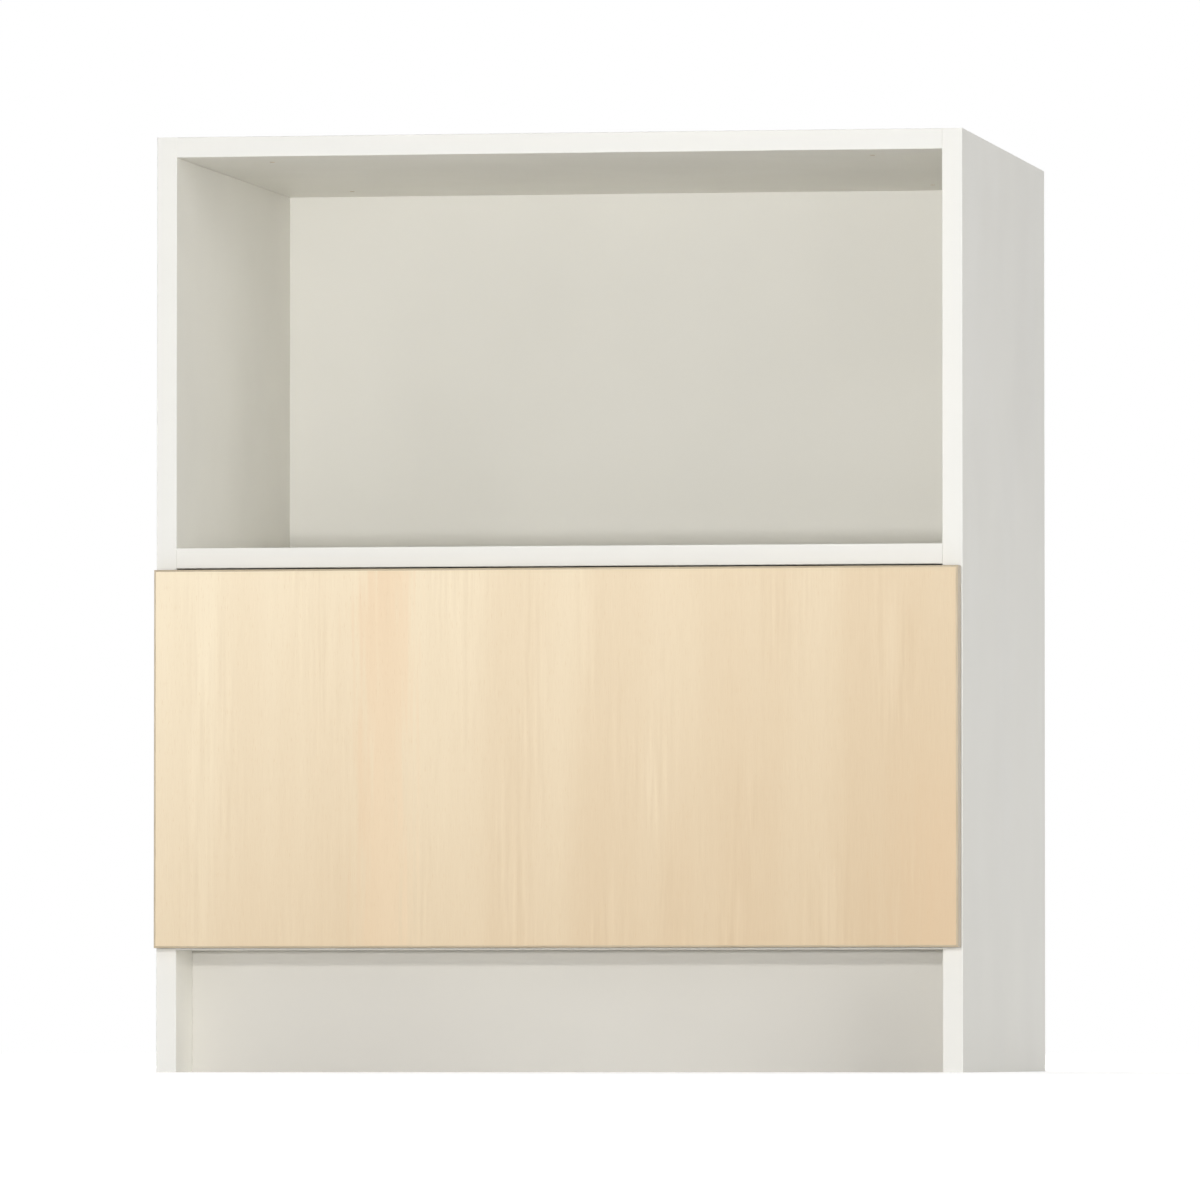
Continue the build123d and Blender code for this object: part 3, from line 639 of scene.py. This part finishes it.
def moulded(name, seed, main, worn, shine):
    """Moulded plastic with a fine spark grain and paler rubbed edges."""
    finish = Finish(name, seed)
    grain = finish.noise(0.0004, rough=0.7)
    cloud = finish.noise(0.012, detail=3.0)
    softened = finish.rounded(finish.sizes.moulding_edge)
    base = finish.mix(cloud.rise(0.3, 0.7) * 0.2 + finish.edges(softened) * 0.25, main, worn)
    return finish.surface(base, shine + grain * 0.15, grain, 0.03, softened)


def clear_rubber():
    """Soft clear bumpers, faintly cloudy, with a matt skin."""
    finish = Finish("bumper_rubber", 41)
    cloud = finish.noise(0.002, detail=3.0)
    base = finish.mix(cloud.rise(0.3, 0.7) * 0.3, finish.colours.rubber, finish.colours.foil)
    fixed = {"Transmission Weight": 0.75, "IOR": 1.43}
    return finish.surface(base, 0.16 + cloud * 0.12, cloud, 0.01, fixed=fixed)


def dress(node, material):
    """Gives a node of the frame a material in every slot."""
    for slot in frame["nodes"][node].material_slots:
        slot.material = material


def ring_faces(rings, around):
    """Quads between neighbouring rings of points, with the seam closed.

    Point j of ring i has number i * around + j; its quad runs on to ring i + 1 and point j + 1.
    """
    first = np.arange(rings - 1)[:, None] * around
    j = np.arange(around)[None, :]
    here, beside = first + j, first + (j + 1) % around
    return np.stack([here, beside, beside + around, here + around], axis=-1).reshape(-1, 4)


def turned_skin(seat, axis, along, reach):
    """A closed skin round an axis, from two grids with one row for each ring.

    Ring i at turn t lies at seat + along[i, t] * axis + reach[i, t] * (cos t * u + sin t * v), where u and
    v are square to the axis. The first and the last ring are closed by one point each, on the axis, at the
    mean height of their ring. Returns the points, the quads and the triangles.
    """
    axis = np.array(axis, float)
    u = np.roll(axis, 1)
    v = np.cross(axis, u)
    rings, around = along.shape
    turn = np.linspace(0, math.tau, around, endpoint=False)
    spokes = np.cos(turn)[:, None] * u + np.sin(turn)[:, None] * v
    grid = np.array(seat) + along[..., None] * axis + reach[..., None] * spokes
    caps = np.array(seat) + np.array([along[0].mean(), along[-1].mean()])[:, None] * axis
    points = np.concatenate([grid.reshape(-1, 3), caps])
    quads = ring_faces(rings, around)[:, ::-1]
    j = np.arange(around)
    last = (rings - 1) * around
    first_cap = np.stack([np.full(around, rings * around), (j + 1) % around, j], axis=-1)
    last_cap = np.stack([np.full(around, rings * around + 1), last + j, last + (j + 1) % around], axis=-1)
    return points, quads, np.concatenate([first_cap[:, ::-1], last_cap[:, ::-1]])


def outward(points, quads, triangles):
    """The same skin with its faces turned outwards, if the volume that they enclose comes out negative."""
    halves = np.concatenate([quads[:, [0, 1, 2]], quads[:, [0, 2, 3]], triangles])
    a, b, c = (points[halves[:, k]] for k in range(3))
    if np.einsum("ij,ij->i", a, np.cross(b, c)).sum() < 0:
        return points, quads[:, ::-1], triangles[:, ::-1]
    return points, quads, triangles


def add_piece(name, skins, node, material, crease=CREASE):
    """One object from several closed skins, in the place of a node of the frame and riding with it."""
    points, quads, triangles = [], [], []
    count = 0
    for skin in skins:
        own, own_quads, own_triangles = outward(*skin)
        points.append(own)
        quads.append(own_quads + count)
        triangles.append(own_triangles + count)
        count += len(own)
    mesh = bpy.data.meshes.new(name)
    faces = np.concatenate(quads).tolist() + np.concatenate(triangles).tolist()
    mesh.from_pydata(np.concatenate(points).tolist(), [], faces)
    mesh.shade_smooth()
    mesh.set_sharp_from_angle(angle=crease)
    place_piece(name, mesh, node, material)


def place_piece(name, mesh, node, material):
    """Links a mesh as a piece that stands for a node, on the node's body."""
    piece = bpy.data.objects.new(name, mesh)
    bpy.context.scene.collection.objects.link(piece)
    mesh.materials.clear()
    mesh.materials.append(material)
    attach(piece, frame["nodes"][node]["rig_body"])
    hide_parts(node)
    return piece


def corners(low, high, inset):
    """The four corners of a box seen from the front, each moved inwards, as pairs of x and z."""
    return [(x, z) for x in (low[X] + inset, high[X] - inset) for z in (low[Z] + inset, high[Z] - inset)]


def ball_skin(centre, radius, steps):
    """A ball: ring i lies at radius * cos(latitude) along the axis and radius * sin(latitude) out from it."""
    latitude = np.linspace(0, math.pi, steps // 2 + 1)[1:-1, None] * np.ones((1, steps))
    return turned_skin(centre, (0, 1, 0), radius * np.cos(latitude), radius * np.sin(latitude))


# A cross recess, as shares of the head's radius: its arms' half width and reach, its walls, its depth
RECESS_ARM, RECESS_TIP, RECESS_WALL, RECESS_DEPTH = 0.13, 0.52, 0.07, 0.55

# A head's first ring and the thread's start, as shares of its radius, the dome's fall at the rim as a
# share of its crown, and the number of rings
HEAD_EYE, UNDER_HEAD, DOME_FALL, HEAD_RINGS = 0.06, 0.02, 0.45, 15

# A thread's core, its crest and its tip's length, as shares of the shank's radius, the steepness of its
# flanks, the power that shapes the tip and the rows of points in each turn
THREAD_CORE, THREAD_CREST, TIP_LENGTH = 0.72, 0.98, 2.2
THREAD_FLANK, TIP_CURVE, ROWS_A_TURN = 2.2, 0.7, 6

# A bumper's upright foot as a share of its height, the power that makes its dome full, and its rows
BUMPER_FOOT, BUMPER_FULLNESS, BUMPER_ROWS = 0.12, 0.8, 12


def cross_recess(p, q, head):
    """Depth of a cross recess over a head: full where a point is inside an arm, with sloping walls."""
    near, far = np.minimum(abs(p), abs(q)), np.maximum(abs(p), abs(q))
    inside_arm = np.clip((RECESS_ARM * head - near) / (RECESS_WALL * head), 0, 1)
    inside_tip = np.clip((RECESS_TIP * head - far) / (3 * RECESS_WALL * head), 0, 1)
    return inside_arm * inside_tip * RECESS_DEPTH * head


def screw_skin(seat, axis, head, crown, sink, shank, reach_in, pitch, steps):
    """A screw: a crowned or countersunk head with a cross recess, and a thread that runs to its tip.

    Along the axis the head starts at -crown and the screw ends at reach_in. The head's face is a polar
    grid whose height is a shallow dome less the recess. On the shank the radius is the thread's crest
    less a groove between its ridges, which are a triangle wave of along / pitch - turn / tau, and it
    falls to nothing at the tip.
    """
    turn = np.linspace(0, math.tau, steps, endpoint=False)[None, :]
    out = np.linspace(HEAD_EYE, 1, HEAD_RINGS)[:, None] * head
    dome = -crown * (1 - (out / head) ** 4 * DOME_FALL)
    face = dome + cross_recess(out * np.cos(turn), out * np.sin(turn), head)
    side_along = np.array([0.0, sink])[:, None] + 0 * turn
    side_reach = np.array([head, shank * THREAD_CREST])[:, None] + 0 * turn
    rows = int((reach_in - sink) / pitch * ROWS_A_TURN)
    along = np.linspace(sink + UNDER_HEAD * head, reach_in, rows)[:, None] + 0 * turn
    wave = abs(2 * ((along / pitch - turn / math.tau) % 1) - 1)
    ridge = np.clip(1 - (1 - wave) * THREAD_FLANK, 0, 1)
    taper = np.clip((reach_in - along) / (TIP_LENGTH * shank), 0, 1) ** TIP_CURVE
    groove = (THREAD_CREST - THREAD_CORE) * np.clip((along - sink) / pitch, 0, 1)
    radius = shank * taper * (THREAD_CREST - groove * (1 - ridge))
    heights = np.concatenate([face, side_along, along[:-1]])
    reaches = np.concatenate([out + 0 * turn, side_reach, radius[:-1]])
    return turned_skin(seat, axis, heights, reaches)


def bumper_skin(seat, axis, radius, height, steps):
    """A low dome on an upright foot: the radius is a power of an angle's cosine, the height its sine."""
    angle = np.linspace(0, math.pi / 2, BUMPER_ROWS)[1:-1, None]
    foot = BUMPER_FOOT * height
    along = np.concatenate([[[0.0], [foot]], foot + (height - foot) * np.sin(angle)])
    reach = radius * np.concatenate([np.ones((2, 1)), np.cos(angle) ** BUMPER_FULLNESS])
    return turned_skin(seat, axis, along + np.zeros((1, steps)), reach + np.zeros((1, steps)))


def softened_copy(node, name, material):
    """A merged copy of a node, whose edges get a moulding's radius from a Bevel modifier."""
    source = bmesh.new()
    source.from_mesh(frame["nodes"][node].data)
    bmesh.ops.remove_doubles(source, verts=source.verts, dist=0.001 * MILLIMETRE)
    bmesh.ops.dissolve_limit(source, angle_limit=math.radians(1), verts=source.verts, edges=source.edges)
    mesh = bpy.data.meshes.new(name)
    source.to_mesh(mesh)
    source.free()
    mesh.shade_smooth()
    piece = place_piece(name, mesh, node, material)
    bevel = piece.modifiers.new("moulded edges", "BEVEL")
    bevel.width = bpy.context.scene.cabinet_sizes.moulding_edge
    bevel.segments = 3
    bevel.limit_method = "ANGLE"
    bevel.angle_limit = CREASE
    bevel.harden_normals = True


class CABINET_OT_boards(bpy.types.Operator):
    """Gives the boards their foil and bare edges, and the front edges their plastic bands."""

    bl_idname = "cabinet.boards"
    bl_label = "Finish the boards"

    def execute(self, context):
        for seed, (node, (axis, foil_colour)) in enumerate(BOARDS.items()):
            dress(node, melamine(node, axis, foil_colour, seed))
        for seed, node in enumerate(EDGE_BANDS):
            dress(node, edge_band(node, seed))
        dress("back_panel", back_board())
        return {"FINISHED"}


class CABINET_OT_drawer(bpy.types.Operator):
    """Gives the drawer front its veneer and lipping, and the drawer box its solid birch and plywood."""

    bl_idname = "cabinet.drawer"
    bl_label = "Finish the drawer"

    def execute(self, context):
        dress("drawer_front", veneer())
        dress("drawer_front_edge_bands", lipping())
        dress("drawer_bottom", plywood())
        for seed, (node, (along, thin)) in enumerate(BOX_BOARDS.items()):
            dress(node, solid_birch(node, along, thin, seed + 1))
        return {"FINISHED"}


class CABINET_OT_slides(bpy.types.Operator):
    """Gives the slides' rolled members their plating and grease, and the ball cages their bare strip."""

    bl_idname = "cabinet.slides"
    bl_label = "Finish the slides"

    def execute(self, context):
        strip = strip_steel()
        pin = screw_steel()
        low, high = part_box("slide_cabinet_member_left")
        middle = (low[Z] + high[Z]) / 2
        for kind, cage in (("cabinet", "outer"), ("intermediate", "outer"), ("drawer", "inner")):
            balls_low, balls_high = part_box(f"balls_{cage}_left")
            row = (balls_high[Z] - balls_low[Z]) / 2
            member = plated_steel(f"{kind}_member_plating", 17 + len(kind), middle, row)
            for side in SIDES:
                dress(f"slide_{kind}_member_{side}", member)
        for side in SIDES:
            dress(f"ball_cage_outer_{side}", strip)
            dress(f"ball_cage_inner_{side}", strip)
            dress(f"release_lever_pin_{side}", pin)
        return {"FINISHED"}


class CABINET_OT_balls(bpy.types.Operator):
    """Makes the bearing balls in the windows of the cages."""

    bl_idname = "cabinet.balls"
    bl_label = "Make the balls"

    def execute(self, context):
        steel = polished_steel()
        steps = context.scene.cabinet_sizes.ball_steps
        for place in ("outer", "inner"):
            for side in SIDES:
                node = f"balls_{place}_{side}"
                low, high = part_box(node)
                radius = (high[X] - low[X]) / 2
                x = (high[X] + low[X]) / 2
                ys = np.linspace(low[Y] + radius, high[Y] - radius, BALLS_IN_ROW)
                skins = [ball_skin((x, y, z), radius, steps)
                         for z in (low[Z] + radius, high[Z] - radius) for y in ys]
                add_piece(f"bearing_{node}", skins, node, steel, crease=math.pi)
        return {"FINISHED"}


class CABINET_OT_screws(bpy.types.Operator):
    """Makes the screws of the slides, the drawer front and the corner blocks."""

    bl_idname = "cabinet.screws"
    bl_label = "Make the screws"

    def execute(self, context):
        self.sizes = context.scene.cabinet_sizes
        self.steel = screw_steel()
        for side in SIDES:
            self.slide_screws(f"slide_side_screws_{side}", self.sizes.side_shank, side == "left")
            self.slide_screws(f"slide_drawer_screws_{side}", self.sizes.box_shank, side != "left")
        self.front_screws()
        self.block_screws()
        return {"FINISHED"}

    def screws(self, node, places, head, crown, sink, shank, reach_in, pitch):
        """One piece of like screws, where a place is a screw's seat and the way that it points."""
        shape = (head, crown, sink, shank, reach_in, pitch, self.sizes.turns_around)
        skins = [screw_skin(seat, axis, *shape) for seat, axis in places]
        add_piece(f"threaded_{node}", skins, node, self.steel)

    def slide_screws(self, node, shank, points_left):
        """Three countersunk screws along a slide member, level with its middle."""
        low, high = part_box(node)
        head, middle = (high[Z] - low[Z]) / 2, (low[Z] + high[Z]) / 2
        seat, way = (high[X], -1) if points_left else (low[X], 1)
        rows = np.linspace(low[Y] + head, high[Y] - head, SLIDE_SCREWS)
        places = [((seat, y, middle), (way, 0, 0)) for y in rows]
        self.screws(node, places, head, 0.0, self.sizes.slide_steel, shank, high[X] - low[X],
                    self.sizes.thread_pitch)

    def front_screws(self):
        """Four pan-head screws from inside the drawer box into its front."""
        low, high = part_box("drawer_front_screws")
        head, crown = self.sizes.front_head, self.sizes.front_crown
        seat = high[Y] - crown
        places = [((x, seat, z), (0, -1, 0)) for x, z in corners(low, high, head)]
        self.screws("drawer_front_screws", places, head, crown, 0.0, self.sizes.front_shank,
                    seat - low[Y], self.sizes.thread_pitch)

    def block_screws(self):
        """Four pan-head screws that hold the corner blocks, two into the toe board and two into the sides."""
        low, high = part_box("toe_corner_blocks")
        wall = self.sizes.block_wall
        across = (high[Y] - low[Y] + wall) / 2
        middle, quarter = (low[Z] + high[Z]) / 2, (high[Z] - low[Z]) / 4
        places = []
        for side in (-1, 1):
            corner = side * high[X]
            places.append(((corner - side * across, low[Y] + wall, middle + quarter), (0, -1, 0)))
            places.append(((corner - side * wall, low[Y] + across, middle - quarter), (side, 0, 0)))
        self.screws("toe_block_screws", places, self.sizes.block_head, self.sizes.block_crown, 0.0,
                    self.sizes.block_shank, wall + self.sizes.block_bite, self.sizes.block_pitch)


class CABINET_OT_bumpers(bpy.types.Operator):
    """Makes the soft domes on the back of the drawer front."""

    bl_idname = "cabinet.bumpers"
    bl_label = "Make the bumpers"

    def execute(self, context):
        node = "drawer_bumpers"
        low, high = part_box(node)
        height = high[Y] - low[Y]
        radius = context.scene.cabinet_sizes.bumper
        steps = context.scene.cabinet_sizes.turns_around
        skins = [bumper_skin((x, low[Y], z), (0, 1, 0), radius, height, steps)
                 for x, z in corners(low, high, radius)]
        add_piece("soft_bumpers", skins, node, clear_rubber(), crease=math.radians(60))
        return {"FINISHED"}


class CABINET_OT_mouldings(bpy.types.Operator):
    """Makes the release levers, the rear stops and the corner blocks with rounded moulded edges."""

    bl_idname = "cabinet.mouldings"
    bl_label = "Make the mouldings"

    def execute(self, context):
        colours = context.scene.cabinet_colours
        black = moulded("black_moulding", 43, colours.black_plastic, colours.strip_steel, 0.38)
        white = moulded("white_moulding", 47, colours.white_plastic, colours.foil_shade, 0.34)
        for side in SIDES:
            softened_copy(f"release_lever_{side}", f"moulded_lever_{side}", black)
            softened_copy(f"slide_rear_stop_{side}", f"moulded_stop_{side}", black)
        softened_copy("toe_corner_blocks", "moulded_corner_blocks", white)
        return {"FINISHED"}


class CABINET_OT_studio(bpy.types.Operator):
    """Sets up the floor, the surroundings, the lamps and the camera."""

    bl_idname = "cabinet.studio"
    bl_label = "Set up the studio"

    def execute(self, context):
        studio = context.scene.cabinet_studio
        self.floor(context, studio)
        self.surroundings(context, studio)
        self.lamps(context, studio)
        self.camera(context, studio)
        context.scene.view_settings.view_transform = "Standard"
        return {"FINISHED"}

    def floor(self, context, studio):
        """A wide floor: plain near the cabinet, and white to the camera far away from it."""
        corners = np.array([(-1, -1, 0), (1, -1, 0), (1, 1, 0), (-1, 1, 0)]) * studio.floor_reach
        mesh = bpy.data.meshes.new("floor")
        mesh.from_pydata(corners.tolist(), [], [(0, 1, 2, 3)])
        floor = bpy.data.objects.new("floor", mesh)
        context.scene.collection.objects.link(floor)
        mesh.materials.append(self.floor_finish(studio))

    def floor_finish(self, studio):
        """A matt floor that adds a little white to what the camera sees, and more with distance."""
        finish = Finish("floor")
        x, y, _ = finish.place
        far = ((x ** 2 + y ** 2) ** 0.5).rise(studio.floor_near, studio.floor_far)
        speckle = finish.noise((0.004, 0.004, 1))
        base = finish.mix(speckle * 0.04, studio.floor, studio.floor_speck)
        matt = finish.node("ShaderNodeBsdfDiffuse", {}, base)["BSDF"]
        near_lift = finish.node("ShaderNodeEmission", {}, WHITE, studio.floor_lift)["Emission"]
        far_lift = finish.node("ShaderNodeEmission", {}, WHITE, 1.0)["Emission"]
        lift = finish.node("ShaderNodeMixShader", {}, far, near_lift, far_lift)["Shader"]
        both = finish.node("ShaderNodeAddShader", {}, matt, lift)["Shader"]
        shown = finish.node("ShaderNodeMixShader", {}, self.seen(finish), matt, both)["Shader"]
        finish.node("ShaderNodeOutputMaterial", {}, shown)
        return finish.material

    @staticmethod
    def seen(finish):
        """1 for the rays that show a background: from the camera, and off or through a glossy surface."""
        path = finish.node("ShaderNodeLightPath")
        rays = path["Is Camera Ray"].maths("MAXIMUM", path["Is Glossy Ray"])
        return rays.maths("MAXIMUM", path["Is Transmission Ray"])

    def surroundings(self, context, studio):
        """An even sky that shows as white."""
        world = bpy.data.worlds.new("studio")
        context.scene.world = world
        world.use_nodes = True
        finish = Finish("studio", tree=world.node_tree)
        light = finish.node("ShaderNodeBackground", {}, WHITE, studio.sky)["Background"]
        white = finish.node("ShaderNodeBackground", {}, WHITE, 1.0)["Background"]
        shown = finish.node("ShaderNodeMixShader", {}, self.seen(finish), light, white)["Shader"]
        finish.node("ShaderNodeOutputWorld", {}, shown)

    def lamps(self, context, studio):
        """The area lamps, aimed at the cabinet's middle, where each leaves a white surface at its level.

        A lamp of P watts at a distance D gives P / (pi * D^2) on its axis, and a white surface sends back
        that over pi, so P = level * (pi * D)^2.
        """
        for name, (place, size, mirrored) in LAMPS.items():
            light = bpy.data.lights.new(f"{name} lamp", "AREA")
            light.shape = "RECTANGLE"
            light.size, light.size_y = size
            way = Vector((0, 0, cad_box[1][Z] / 2)) - Vector(place)
            light.energy = getattr(studio, name) * (math.pi * way.length) ** 2
            lamp = bpy.data.objects.new(f"{name} lamp", light)
            lamp.location = place
            lamp.rotation_euler = way.to_track_quat("-Z", "Y").to_euler()
            lamp.visible_camera = False
            lamp.visible_glossy = mirrored
            context.scene.collection.objects.link(lamp)

    def camera(self, context, studio):
        """The camera, in front and a little to the right, with its eye near the floor."""
        lens = bpy.data.cameras.new("camera")
        lens.lens = studio.lens
        lens.sensor_width = 36.0
        lens.clip_start, lens.clip_end = 0.1, 200.0
        camera = bpy.data.objects.new("camera", lens)
        away = studio.camera_distance
        camera.location = (away * math.sin(studio.camera_turn), -away * math.cos(studio.camera_turn),
                           studio.camera_height)
        way = Vector((studio.aim_side, 0, studio.aim_height)) - camera.location
        camera.rotation_euler = way.to_track_quat("-Z", "Y").to_euler()
        context.scene.collection.objects.link(camera)
        context.scene.camera = camera


OPERATORS = (CABINET_OT_boards, CABINET_OT_drawer, CABINET_OT_slides, CABINET_OT_balls, CABINET_OT_screws,
             CABINET_OT_bumpers, CABINET_OT_mouldings, CABINET_OT_studio)
GROUPS = {"cabinet_colours": CabinetColours, "cabinet_sizes": CabinetSizes, "cabinet_studio": CabinetStudio}


class CABINET_PT_sidebar(bpy.types.Panel):
    """Lists the operators, and the sizes and colours that they use."""

    bl_idname = "CABINET_PT_sidebar"
    bl_label = "Microwave base cabinet"
    bl_space_type = "VIEW_3D"
    bl_region_type = "UI"
    bl_category = "Cabinet"

    def draw(self, context):
        for operator in OPERATORS:
            self.layout.operator(operator.bl_idname)
        for name, group in GROUPS.items():
            box = self.layout.box()
            for value in group.__annotations__:
                box.prop(getattr(context.scene, name), value)


def register():
    for name, group in GROUPS.items():
        bpy.utils.register_class(group)
        setattr(bpy.types.Scene, name, PointerProperty(type=group))
    for kind in (*OPERATORS, CABINET_PT_sidebar):
        bpy.utils.register_class(kind)


def unregister():
    for kind in (*OPERATORS, CABINET_PT_sidebar):
        bpy.utils.unregister_class(kind)
    for name, group in GROUPS.items():
        delattr(bpy.types.Scene, name)
        bpy.utils.unregister_class(group)


def main():
    """Registers the add-on and makes every piece in order."""
    register()
    bpy.ops.cabinet.boards()
    bpy.ops.cabinet.drawer()
    bpy.ops.cabinet.slides()
    bpy.ops.cabinet.balls()
    bpy.ops.cabinet.screws()
    bpy.ops.cabinet.bumpers()
    bpy.ops.cabinet.mouldings()
    bpy.ops.cabinet.studio()
    bpy.context.view_layer.update()


if __name__ == "__main__":
    main()
